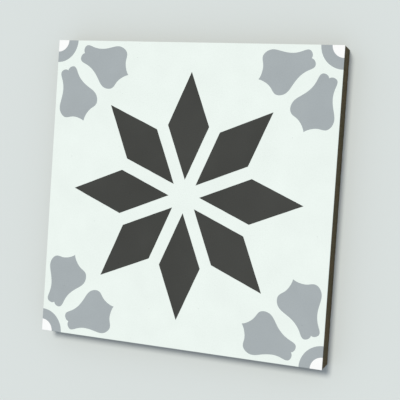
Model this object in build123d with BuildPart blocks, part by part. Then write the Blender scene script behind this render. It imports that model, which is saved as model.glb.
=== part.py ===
from build123d import *
from build123d.topology import SkipClean
import os
from math import radians, sin, tan

# Encaustic cement tile, in millimetres: one pressed slab whose face is inlaid with pigmented cement.
# It lies on its back with the face up. The origin is at the middle of the back, X and Y follow the sides.

# Slab
tile_side = 200.0
tile_thickness = 16.0
side_draft = 3.0  # degrees that the sides lean in towards the back, so that the mould's frame lifts off
arris = 0.3  # radius of the eased edges

# Star of equal rhombs round the middle of the face
star_points = 8
star_radius = 81.0  # from the middle of the tile to a rhomb's outer tip
star_gap = 8.3  # ground between two neighbouring rhombs

# Blossom round each corner, a quarter of it on this tile and the rest on its neighbours
blossom_petals = 8
eye_radius = 7.85
ring_width = 7.15  # of the band round the eye
petal_gap = 5.65  # from the band to the lobes at a petal's foot

# Stations of a petal along its axis, each measured from the station before
lobe_length = 0.6  # lobe tips to the round of the lobes' outer corners
notch_depth = 1.5  # cleft between the two lobes
waist_length = 5.45
flare_length = 12.2
shoulder_length = 6.5
crown_length = 6.1  # shoulder to the steep front
throat_length = 1.35  # down the front, towards the point
neck_length = 2.25  # to where the point's flanks run straight
point_length = 3.6

# Half widths of a petal at those stations
lobe_offset = 3.0
lobe_half_width = 5.1
waist_half_width = 6.4
flare_half_width = 11.4
shoulder_half_width = 14.8
crown_half_width = 12.55
throat_half_width = 7.85
neck_half_width = 3.45

# A rhomb's sides run along the rays midway between the star's points, half a gap away from them,
# so its sharp corners have the angle between two points.
rhomb_half_angle = radians(180 / star_points)
star_hub = star_gap / 2 / sin(rhomb_half_angle)
rhomb_half_length = (star_radius - star_hub) / 2
rhomb_half_width = rhomb_half_length * tan(rhomb_half_angle)

# A petal's stations, from the tile's corner outwards
lobe_at = eye_radius + ring_width + petal_gap
round_at = lobe_at + lobe_length
waist_at = round_at + waist_length
flare_at = waist_at + flare_length
shoulder_at = flare_at + shoulder_length
crown_at = shoulder_at + crown_length
throat_at = crown_at + throat_length
neck_at = throat_at + neck_length
tip_at = neck_at + point_length

# One petal, its axis along X and the tile's corner at the origin
with BuildSketch() as petal:
    with BuildLine():
        Spline(
            (lobe_at + notch_depth, 0),
            (lobe_at, lobe_offset),
            (round_at, lobe_half_width),
            (waist_at, waist_half_width),
            (flare_at, flare_half_width),
            (shoulder_at, shoulder_half_width),
            (crown_at, crown_half_width),
            (throat_at, throat_half_width),
            (neck_at, neck_half_width),
            (tip_at, 0),
        )
        mirror(about=Plane.XZ)
    make_face()

with BuildPart() as tile:
    # The face is the wide end of the slab: it is pressed downwards, on the floor of the mould
    face_plane = Plane.XY.offset(tile_thickness)
    with BuildSketch(face_plane):
        Rectangle(tile_side, tile_side)
    extrude(amount=-tile_thickness)
    draft(tile.faces().filter_by(Axis.Z, reverse=True), neutral_plane=face_plane, angle=-side_draft)
    fillet(tile.edges(), radius=arris)
    flat_face = tile.faces().sort_by(Axis.Z)[-1]

    # Figures of the face, cut off where the flat face ends
    with BuildSketch(face_plane) as figures:
        with PolarLocations(star_hub + rhomb_half_length, star_points):
            Polygon(
                (rhomb_half_length, 0),
                (0, rhomb_half_width),
                (-rhomb_half_length, 0),
                (0, -rhomb_half_width),
            )
        with GridLocations(tile_side, tile_side, 2, 2):
            Circle(eye_radius + ring_width)
            with PolarLocations(0, blossom_petals, start_angle=180 / blossom_petals):
                add(petal.sketch)
        add(flat_face, mode=Mode.INTERSECT)
    with BuildSketch(face_plane) as eyes:
        with GridLocations(tile_side, tile_side, 2, 2):
            Circle(eye_radius)
        add(flat_face, mode=Mode.INTERSECT)

    # The pigmented cement is one body with the slab, so what remains of it is the joints between the
    # colours: edges that divide the flat face. Half the thickness keeps them off the back.
    with SkipClean():
        for inlay in (figures, eyes):
            extrude(inlay.sketch, amount=-tile_thickness / 2)

tile.part.label = "tile"
os.makedirs("parts", exist_ok=True)
export_step(tile.part, "parts/tile.step")
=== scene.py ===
from math import asin, atan2, pi, radians, sin, sqrt, tan

import bmesh
import bpy
import numpy
from mathutils import Matrix, Vector, noise


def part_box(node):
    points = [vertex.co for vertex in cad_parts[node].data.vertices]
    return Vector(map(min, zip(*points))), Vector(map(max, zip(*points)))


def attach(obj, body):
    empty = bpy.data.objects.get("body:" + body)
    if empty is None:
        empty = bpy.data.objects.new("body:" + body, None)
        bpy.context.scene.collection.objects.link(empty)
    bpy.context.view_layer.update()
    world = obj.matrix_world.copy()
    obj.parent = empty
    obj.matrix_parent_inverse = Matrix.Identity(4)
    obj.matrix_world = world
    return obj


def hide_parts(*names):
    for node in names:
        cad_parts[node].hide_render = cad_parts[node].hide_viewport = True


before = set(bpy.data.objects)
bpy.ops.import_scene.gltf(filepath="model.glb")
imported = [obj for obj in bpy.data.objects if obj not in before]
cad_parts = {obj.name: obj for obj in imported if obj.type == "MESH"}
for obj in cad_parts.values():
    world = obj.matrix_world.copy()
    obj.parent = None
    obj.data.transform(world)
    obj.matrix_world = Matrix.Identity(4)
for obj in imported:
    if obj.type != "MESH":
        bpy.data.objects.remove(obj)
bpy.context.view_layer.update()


# Mortar body
# The tile is one pressed slab. Behind its colours it is mortar of sharp sand and cement, shaken into the
# mould nearly dry and pressed hard. The mould's frame gives it flat sides that lean in towards the back.
mm = 0.001
arris = 0.3 * mm  # how far the edges are eased
arris_steps = 4
side_draft = radians(3)
mesh_step = 1.25 * mm
hollow_depth = 0.22 * mm
hollow_width = 4.5 * mm
hollow_fade = 3 * mm  # from the colours down to where the hollows have their full depth
hollow_sizes = 3  # large hollows with smaller ones in them
size_step = 2.0  # from one size of hollow to the next
size_fall = 0.9  # how fast they get shallower with their size
cement_gloss = 0.2  # matt, since nothing seals the tile

low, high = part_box("tile")
thickness = high.z - low.z
# Where face and side would meet if the edge weren't eased
half_side = high.x + arris * (1 / tan(pi / 4 - side_draft / 2) - 1)
half_face = half_side - arris
back_scale = 1 - thickness * tan(side_draft) / half_side

tile = bmesh.new()
slab_place = Matrix.Translation((0, 0, low.z + thickness / 2))
slab_size = Matrix.Diagonal((2 * half_side, 2 * half_side, thickness, 1))
bmesh.ops.create_cube(tile, size=1, matrix=slab_place @ slab_size)
back_corners = [vert for vert in tile.verts if vert.co.z < thickness / 2]
bmesh.ops.scale(tile, verts=back_corners, vec=(back_scale, back_scale, 1))
bmesh.ops.bevel(
    tile, geom=tile.edges[:], offset=arris, offset_type="OFFSET", affect="EDGES",
    segments=arris_steps, profile=0.5, material=-1,
)

# The face is left open for the colours, and the long edges are divided for the mortar's hollows
face_blank = max(tile.faces, key=lambda face: face.calc_center_median().z)
bmesh.ops.delete(tile, geom=[face_blank], context="FACES_ONLY")
for axis in range(3):
    runs = [
        edge for edge in tile.edges
        if abs(edge.verts[0].co[axis] - edge.verts[1].co[axis]) > thickness / 2
    ]
    cuts = round(max(edge.calc_length() for edge in runs) / mesh_step) - 1
    bmesh.ops.subdivide_edges(tile, edges=runs, cuts=cuts)
tile.normal_update()
for vert in tile.verts:
    below = high.z - arris - vert.co.z
    if below > 0:
        hollow = max(0, noise.fractal(vert.co / hollow_width, size_fall, size_step, hollow_sizes))
        vert.co -= vert.normal * hollow_depth * hollow * min(1, below / hollow_fade)


class Shade:
    """An output of a material's nodes. Arithmetic on it adds Math nodes."""

    def __init__(self, tree, output=None):
        self.tree = tree
        self.output = output

    def feed(self, node, inputs):
        for name, value in inputs.items():
            if isinstance(value, Shade):
                self.tree.links.new(value.output, node.inputs[name])
            else:
                node.inputs[name].default_value = value

    def node(self, kind, settings, inputs, output=0):
        made = self.tree.nodes.new("ShaderNode" + kind)
        for name, value in settings.items():
            setattr(made, name, value)
        self.feed(made, inputs)
        return Shade(self.tree, made.outputs[output])

    def twin(self, output):
        """Another output of the same node."""
        return Shade(self.tree, self.output.node.outputs[output])

    def math(self, operation, *values):
        return self.node("Math", {"operation": operation}, dict(enumerate(values)))

    def __add__(self, other):
        return self.math("ADD", self, other)

    def __sub__(self, other):
        return self.math("SUBTRACT", self, other)

    def __rsub__(self, other):
        return self.math("SUBTRACT", other, self)

    def __mul__(self, other):
        return self.math("MULTIPLY", self, other)

    __radd__ = __add__
    __rmul__ = __mul__

    def rise(self, start, end):
        """0 at start and 1 at end, with soft ends."""
        limits = {"Value": self, "From Min": start, "From Max": end}
        return self.node("MapRange", {"interpolation_type": "SMOOTHSTEP"}, limits)

    def patches(self, size, detail):
        """Soft patches of about this size, around 0."""
        return self.node("TexNoise", {}, {"Vector": self, "Scale": 1 / size, "Detail": detail}) - 0.5

    def jostled(self, size, reach):
        """This place moved about by up to a reach, which roughens what is drawn by it."""
        push = self.node("TexNoise", {}, {"Vector": self, "Scale": 1 / size}, "Color")
        moves = {0: push, 1: (reach, reach, reach), 2: self}
        return self.node("VectorMath", {"operation": "MULTIPLY_ADD"}, moves)

    def grains(self, size):
        """Packed grains, some of them sunk: each one's own tone, around 0, and its rounded height."""
        cells = self.node("TexVoronoi", {}, {"Vector": self, "Scale": 1 / size})
        draw = self.node("SeparateColor", {}, {"Color": cells.twin("Color")}, "Red")
        return draw - 0.5, (1 - cells * cells) * draw.twin("Green")

    def specks(self, spacing, radius, share):
        """Specks, 1 inside and 0 outside, in this share of the places that lie about one spacing apart."""
        cells = self.node("TexVoronoi", {}, {"Vector": self, "Scale": 1 / spacing})
        draw = self.node("SeparateColor", {}, {"Color": cells.twin("Color")}, "Red")
        rim = radius / spacing
        core = 0.6 * rim
        return cells.rise(rim, core) * self.math("LESS_THAN", draw, share)

    def tint(self, colour):
        """A colour made lighter or darker by this value."""
        return self.node("VectorMath", {"operation": "SCALE"}, {0: colour, "Scale": self})

    def blend(self, colour, other):
        """One colour where this value is 0, another where it is 1."""
        return self.node("Mix", {"data_type": "RGBA"}, {0: self, 6: colour, 7: other}, 2)


def new_cement(name):
    """A new material, and its place on the object to draw by."""
    material = bpy.data.materials.new(name)
    material.use_nodes = True
    return material, Shade(material.node_tree).node("TexCoord", {}, {}, "Object")


def cure_cement(material, at, colour, roughness, height, relief):
    """Unsealed cement: matt, with little gloss, and fine relief of this depth."""
    bump = at.node("Bump", {}, {"Strength": 1, "Distance": relief, "Height": height})
    at.feed(material.node_tree.nodes["Principled BSDF"], {
        "Base Color": colour, "Roughness": roughness, "Normal": bump, "Specular IOR Level": cement_gloss,
    })


# Sand of two shades, with streaks along the sides as it was shaken into the mould. Paler and darker grains
# show in it, with painted shade on the sunk ones and in the open pores, and specks of quartz.
brown_sand = (0.093, 0.063, 0.028, 1)
olive_sand = (0.069, 0.059, 0.027, 1)
mortar, at = new_cement("mortar")
rough = at.jostled(size=0.7 * mm, reach=0.5 * mm)
streaks = at.node("Mapping", {}, {"Vector": at, "Scale": (1, 1, 5)}).patches(size=14 * mm, detail=3)
coarse = at.patches(size=1.6 * mm, detail=4)
sand_tone, sand_height = rough.grains(size=0.5 * mm)
grit_tone, grit_height = rough.grains(size=1.1 * mm)
quartz = rough.specks(spacing=1.7 * mm, radius=0.36 * mm, share=0.3)
pores = rough.specks(spacing=2.7 * mm, radius=0.5 * mm, share=0.3)
# The sand height term is painted shade: grains that lie lower come out darker.
grain_tone_and_crevice_shade = 0.76 + 0.7 * sand_height + 0.45 * sand_tone + 0.25 * grit_tone
# Taking off 0.6 of the pores is painted shade in the open pores.
mortar_tone_and_shade = grain_tone_and_crevice_shade + 0.5 * streaks + 0.5 * coarse + 0.5 * quartz - 0.6 * pores
olive_share = (0.5 + 1.6 * at.patches(size=12 * mm, detail=4)).rise(0, 1)
mortar_colour = mortar_tone_and_shade.tint(olive_share.blend(brown_sand, olive_sand))
mortar_roughness = 0.85 + 0.1 * coarse
mortar_height = 0.6 * sand_height + 0.6 * grit_height + coarse - 1.5 * pores
cure_cement(mortar, at, mortar_colour, mortar_roughness, mortar_height, relief=0.2 * mm)
finishes = [mortar]


# Star
# Eight rhombs of charcoal-coloured cement, poured as a slip of white cement, marble dust and pigment into
# a divider of thin brass that is lifted out before pressing, so that the colours meet in clean joints.
star_points = 8
star_radius = 81 * mm
star_gap = 8.3 * mm
joint_step = 1 * mm
joint_waver = 0.08 * mm
waver_length = 7 * mm
waver_seed = 5
charcoal_colour = (0.0455, 0.0472, 0.0432)

noise.seed_set(waver_seed)


def pour(material, outlines):
    """Fills closed outlines on the face with one colour."""
    if material not in finishes:
        finishes.append(material)
    bmesh.ops.edgeloop_fill(tile, edges=outlines, mat_nr=finishes.index(material))


def loose_edges():
    """Outlines that no colour has been poured into."""
    return [edge for edge in tile.edges if edge.is_wire]


def settle(edges):
    """Moves a joint a little off its line, as slips press on each other, but not at the tile's edge."""
    for vert in {vert for edge in edges for vert in edge.verts}:
        if max(abs(vert.co.x), abs(vert.co.y)) < half_face - joint_waver:
            vert.co.xy += joint_waver * noise.noise_vector(vert.co / waver_length).xy


def pigmented_cement(name, colour, mottle, bloom, flecks):
    """Cement coloured through, cloudy and fine-grained, with flecks, a pale bloom, and pinholes in painted
    shade.
    """
    material, at = new_cement(name)
    clouds = at.patches(size=19 * mm, detail=3)
    grain = at.patches(size=0.8 * mm, detail=2)
    pinholes = at.specks(spacing=5 * mm, radius=0.22 * mm, share=0.25)
    dust = at.specks(spacing=1.9 * mm, radius=0.3 * mm, share=0.3)
    # Taking off 0.4 of the pinholes is painted shade inside them.
    tone = 1 + mottle * clouds + mottle * grain + flecks * dust - 0.4 * pinholes
    bloom_share = bloom * (0.5 + 1.5 * at.patches(size=34 * mm, detail=4)).rise(0.2, 1)
    bloom_colour = (0.72, 0.74, 0.72, 1)
    shown = bloom_share.blend(tone.tint(colour), bloom_colour)
    roughness = 0.76 + 0.12 * clouds + 0.1 * grain
    cure_cement(material, at, shown, roughness, 0.6 * grain - pinholes, relief=0.08 * mm)
    return material


half_turn = pi / star_points
star_hub = star_gap / 2 / sin(half_turn)
rhomb_half_length = (star_radius - star_hub) / 2
rhomb_half_width = rhomb_half_length * tan(half_turn)
rhomb_side = sqrt(rhomb_half_length ** 2 + rhomb_half_width ** 2)
rhomb_size = Matrix.Diagonal((rhomb_half_length, rhomb_half_width, 1, 1))
rhomb_place = Matrix.Translation((star_hub + rhomb_half_length, 0, high.z))
for point in range(star_points):
    ray = Matrix.Rotation(2 * half_turn * point, 4, "Z")
    bmesh.ops.create_circle(tile, segments=4, radius=1, matrix=ray @ rhomb_place @ rhomb_size)
bmesh.ops.subdivide_edges(tile, edges=loose_edges(), cuts=round(rhomb_side / joint_step) - 1)
settle(loose_edges())
charcoal_cement = pigmented_cement("charcoal_cement", charcoal_colour, mottle=0.2, bloom=0.012, flecks=0.15)
pour(charcoal_cement, loose_edges())


# Blossoms
# A quarter of a blossom fills each corner, and three more tiles complete it: a white eye, a grey band and
# two grey petals. They are poured in the same way, and eye and band run out over the tile's eased edge.
eye_radius = 7.85 * mm
ring_width = 7.15 * mm
petal_gap = 5.65 * mm
blossom_petals = 8  # round the whole blossom
petal_steps = 10  # along each stretch of a petal's outline
flat_reach = 0.003 * mm  # how far below the face a point still counts as on its flat
cut_reach = 0.005 * mm  # how near a cut takes a point that is there
merge_reach = 0.02 * mm  # how near two points become one
grey_colour = (0.379, 0.421, 0.438)
white_colour = (0.965, 0.975, 0.97)

band_radius = eye_radius + ring_width
lobe_at = band_radius + petal_gap
corners = [Vector((x, y, high.z)) for x in (-half_side, half_side) for y in (-half_side, half_side)]


def from_corner(point):
    """How far a point of the face is from the nearest corner."""
    return Vector((half_side - abs(point.x), half_side - abs(point.y))).length


def middle_of(edge):
    return (edge.verts[0].co + edge.verts[1].co) / 2


def on_flat(point):
    """Whether a point lies on the flat of the face."""
    return point.z > high.z - flat_reach


def on_eased_edge(part):
    """Whether an edge or a face of the mesh lies no lower than the tile's eased edge."""
    return all(vert.co.z > high.z - 2 * arris for vert in part.verts)


def pour_round(material, radius):
    """Pours a quarter disc into each corner, up to what has been poured there before."""
    crossing = half_side - sqrt(radius ** 2 - arris ** 2)  # where its rim meets the end of the flat face
    for side in (-1, 1):
        for axis in (Vector((1, 0, 0)), Vector((0, 1, 0))):
            bmesh.ops.bisect_plane(
                tile, geom=[part for part in tile.edges[:] + tile.faces[:] if on_eased_edge(part)],
                plane_co=side * crossing * axis, plane_no=axis, dist=cut_reach,
            )
    sweep = pi / 2 - 2 * asin(arris / radius)
    for corner in corners:
        across, up = corner.x / half_side, corner.y / half_side
        start = tile.verts.new((across * crossing, up * half_face, high.z))
        bmesh.ops.spin(
            tile, geom=[start], cent=corner, axis=(0, 0, across * up), angle=sweep,
            steps=round(sweep * radius / joint_step),
        )
    settle(loose_edges())
    flat_verts = [vert for vert in tile.verts if on_flat(vert.co)]
    bmesh.ops.remove_doubles(tile, verts=flat_verts, dist=merge_reach)
    pour(material, [
        edge for edge in tile.edges
        if edge.is_wire or edge.is_boundary and from_corner(middle_of(edge)) < radius
    ])


white_cement = pigmented_cement("white_cement", white_colour, mottle=0.08, bloom=0, flecks=-0.03)
pour_round(white_cement, eye_radius)
grey_cement = pigmented_cement("grey_cement", grey_colour, mottle=0.14, bloom=0.03, flecks=-0.05)
pour_round(grey_cement, band_radius)

# Stations of half a petal's outline: how far along its axis from the tile's corner, and how far across
petal_stations = numpy.array([
    (lobe_at + 1.5 * mm, 0),  # cleft between the two lobes
    (lobe_at, 3.0 * mm),  # tip of a lobe
    (lobe_at + 0.6 * mm, 5.1 * mm),  # round of the lobe's outer corner
    (lobe_at + 6.05 * mm, 6.4 * mm),  # waist
    (lobe_at + 18.25 * mm, 11.4 * mm),  # flare
    (lobe_at + 24.75 * mm, 14.8 * mm),  # shoulder, the widest place
    (lobe_at + 30.85 * mm, 12.55 * mm),  # crown
    (lobe_at + 32.2 * mm, 7.85 * mm),  # throat, on the steep front
    (lobe_at + 34.45 * mm, 3.45 * mm),  # neck of the point
    (lobe_at + 38.05 * mm, 0),  # tip of the point
])


def bend_evenly(stations):
    """Handles before and after each station that lead a curve through all, with no jump in its bend."""
    gaps = numpy.linalg.norm(numpy.diff(stations, axis=0), axis=1)
    places = numpy.concatenate([[0], numpy.cumsum(gaps)])
    shares = numpy.eye(len(stations))
    pulls = numpy.zeros_like(stations)
    for i in range(1, len(stations) - 1):
        before, after = gaps[i - 1], gaps[i]
        shares[i, i - 1:i + 2] = 1 / before, 2 / before + 2 / after, 1 / after
        pulls[i] = 3 * (stations[i] - stations[i - 1]) / before ** 2
        pulls[i] += 3 * (stations[i + 1] - stations[i]) / after ** 2
    # At its ends it leaves as a cubic through the nearest four stations does
    pulls[0] = numpy.polyfit(places[:4], stations[:4], 3)[2]
    pulls[-1] = numpy.polyfit(places[-4:] - places[-1], stations[-4:], 3)[2]
    slopes = numpy.linalg.solve(shares, pulls)
    back = slopes * numpy.concatenate([gaps[:1], gaps])[:, None] / 3
    forth = slopes * numpy.concatenate([gaps, gaps[-1:]])[:, None] / 3
    return stations - back, stations + forth


petal_line = bpy.data.curves.new("petal_line", "CURVE")
petal_line.dimensions = "3D"
petal_line.resolution_u = petal_steps
outline = petal_line.splines.new("BEZIER")
outline.bezier_points.add(len(petal_stations) - 1)
handles = bend_evenly(petal_stations)
for knot, station, before, after in zip(outline.bezier_points, petal_stations, *handles):
    knot.handle_left_type = knot.handle_right_type = "FREE"
    knot.co = (*station, 0)
    knot.handle_left = (*before, 0)
    knot.handle_right = (*after, 0)
petal_wire = bpy.data.objects.new("petal_line", petal_line)
petal_mesh = bpy.data.meshes.new_from_object(petal_wire)
bpy.data.objects.remove(petal_wire)
bpy.data.curves.remove(petal_line)
petal = bmesh.new()
petal.from_mesh(petal_mesh)
bmesh.ops.mirror(petal, geom=petal.verts[:] + petal.edges[:], axis="Y", merge_dist=merge_reach)
petal.to_mesh(petal_mesh)
petal.free()

# Two petals to a corner, to either side of its diagonal
petal_turn = pi / blossom_petals
for corner in corners:
    inwards = atan2(-corner.y, -corner.x)
    for turn in (-petal_turn, petal_turn):
        stamp = petal_mesh.copy()
        stamp.transform(Matrix.Translation(corner) @ Matrix.Rotation(inwards + turn, 4, "Z"))
        tile.from_mesh(stamp)
        bpy.data.meshes.remove(stamp)
bpy.data.meshes.remove(petal_mesh)
settle(loose_edges())
pour(grey_cement, loose_edges())


# Ground
# Pale, faintly green cement fills the rest of the face between the figures, flush with them. The mould's
# polished floor leaves the whole face flat and even, so only the slips' clouds, grain and pinholes show.
ground_colour = (0.840, 0.915, 0.873)

pale_cement = pigmented_cement("pale_cement", ground_colour, mottle=0.09, bloom=0, flecks=-0.04)
finishes.append(pale_cement)
open_edges = [edge for edge in tile.edges if edge.is_boundary]
bmesh.ops.triangle_fill(tile, edges=open_edges, use_beauty=True, normal=(0, 0, 1))
bmesh.ops.recalc_face_normals(tile, faces=tile.faces[:])

# The ground takes its colour here, and so does the eased edge: eye, band and ground go on over it, down to
# where the mortar begins
for face in tile.faces:
    middle = face.calc_center_median()
    face.smooth = not on_flat(middle)
    if finishes[face.material_index] == mortar and middle.z > high.z - arris:
        if face.smooth and from_corner(middle) < eye_radius:
            colour = white_cement
        elif face.smooth and from_corner(middle) < band_radius:
            colour = grey_cement
        else:
            colour = pale_cement
        face.material_index = finishes.index(colour)


# Whole tile
# All of it cures into one body, so it is one piece. Its map for baked colours lays each side of the slab,
# and the dark and grey figures, on a patch of their own, so that no colour runs over a joint.
# Left, bottom and width of each patch on the map, which is 1 wide. A side is named by its axis and sign.
map_patches = {
    "ground": (0.004, 0.476, 0.52), "figures": (0.532, 0.536, 0.46), "back": (0.004, 0.006, 0.46),
    (0, -1): (0.475, 0.01, 0.52), (0, 1): (0.475, 0.07, 0.52),
    (1, -1): (0.475, 0.13, 0.52), (1, 1): (0.475, 0.19, 0.52),
}
bake_map = tile.loops.layers.uv.new("OFBake")
for face in tile.faces:
    axis = max(range(3), key=lambda i: abs(face.normal[i]))
    if axis < 2:
        patch = (axis, 1 if face.normal[axis] > 0 else -1)
    elif face.normal.z < 0:
        patch = "back"
    else:
        patch = "ground" if finishes[face.material_index] in (pale_cement, white_cement) else "figures"
    left, bottom, size = map_patches[patch]
    for loop in face.loops:
        place = loop.vert.co
        across = place.y if axis == 0 else place.x
        up = place.y + half_side if axis == 2 else place.z
        loop[bake_map].uv = (
            left + size * (across / half_side / 2 + 0.5),
            bottom + size * up / half_side / 2,
        )

tile_mesh = bpy.data.meshes.new("cement_tile")
tile.to_mesh(tile_mesh)
tile.free()
for material in finishes:
    tile_mesh.materials.append(material)
cement_tile = bpy.data.objects.new("cement_tile", tile_mesh)
bpy.context.collection.objects.link(cement_tile)
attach(cement_tile, "root")
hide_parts("tile")


# Floor
# A plain pale studio floor, painted matt, that the tile lies on. It is a single flat sheet, a hair's
# breadth lower than the tile's back, so that the two never show through each other.
floor_half = 3.0
floor_gap = 0.02 * mm
floor_colour = (0.705, 0.755, 0.745, 1)
floor_roughness = 0.9
floor_gloss = 0.0

floor_sheet = bmesh.new()
bmesh.ops.create_grid(floor_sheet, x_segments=1, y_segments=1, size=floor_half)
floor_mesh = bpy.data.meshes.new("floor")
floor_sheet.to_mesh(floor_mesh)
floor_sheet.free()
floor = bpy.data.objects.new("floor", floor_mesh)
floor.location.z = low.z - floor_gap
bpy.context.collection.objects.link(floor)
floor_paint = bpy.data.materials.new("floor_paint")
floor_paint.use_nodes = True
paint = floor_paint.node_tree.nodes["Principled BSDF"]
paint.inputs["Base Color"].default_value = floor_colour
paint.inputs["Roughness"].default_value = floor_roughness
paint.inputs["Specular IOR Level"].default_value = floor_gloss
floor_mesh.materials.append(floor_paint)


# Light
# A broad lamp high over the picture's upper edge, and light from all round that is a little bluer. Together
# they give the face a level of 1, so that its colours render as written.
lamp_from = Vector((-0.05, 0.36, 0.93))
lamp_share = (0.60, 0.57, 0.525)
room_share = (0.40, 0.43, 0.475)
lamp_spread = radians(16)
backdrop = floor_colour

lamp = bpy.data.lights.new("lamp", "SUN")
lamp.angle = lamp_spread
lamp.color = lamp_share
lamp.energy = pi / lamp_from.normalized().z
lamp_stand = bpy.data.objects.new("lamp", lamp)
lamp_stand.rotation_euler = lamp_from.to_track_quat("Z", "Y").to_euler()
bpy.context.collection.objects.link(lamp_stand)

scene = bpy.context.scene
scene.world = bpy.data.worlds.new("room")
scene.world.use_nodes = True
rays = Shade(scene.world.node_tree).node("LightPath", {}, {}, "Is Camera Ray")
seen = rays + rays.twin("Is Glossy Ray") + rays.twin("Is Transmission Ray")
room_light = seen.rise(0, 1).blend((*room_share, 1), backdrop)
rays.feed(scene.world.node_tree.nodes["Background"], {"Color": room_light, "Strength": 1})


# Camera
# It looks down on the face as steeply, and from as far to the right, as the picture does. Its lens and
# place are those that put the corners and the star where the picture shows them.
camera_from = Vector((250.92, 23.38, 588.78)) * mm  # from the middle of the face
camera_turn = [radians(angle) for angle in (-0.673, 22.220, 4.124)]
focal_length = 88.56  # in millimetres, for a sensor 36 mm wide

camera_lens = bpy.data.cameras.new("camera")
camera_lens.lens = focal_length
camera = bpy.data.objects.new("camera", camera_lens)
camera.location = Vector((0, 0, high.z)) + camera_from
camera.rotation_euler = camera_turn
bpy.context.collection.objects.link(camera)
scene.camera = camera
scene.view_settings.view_transform = "Standard"
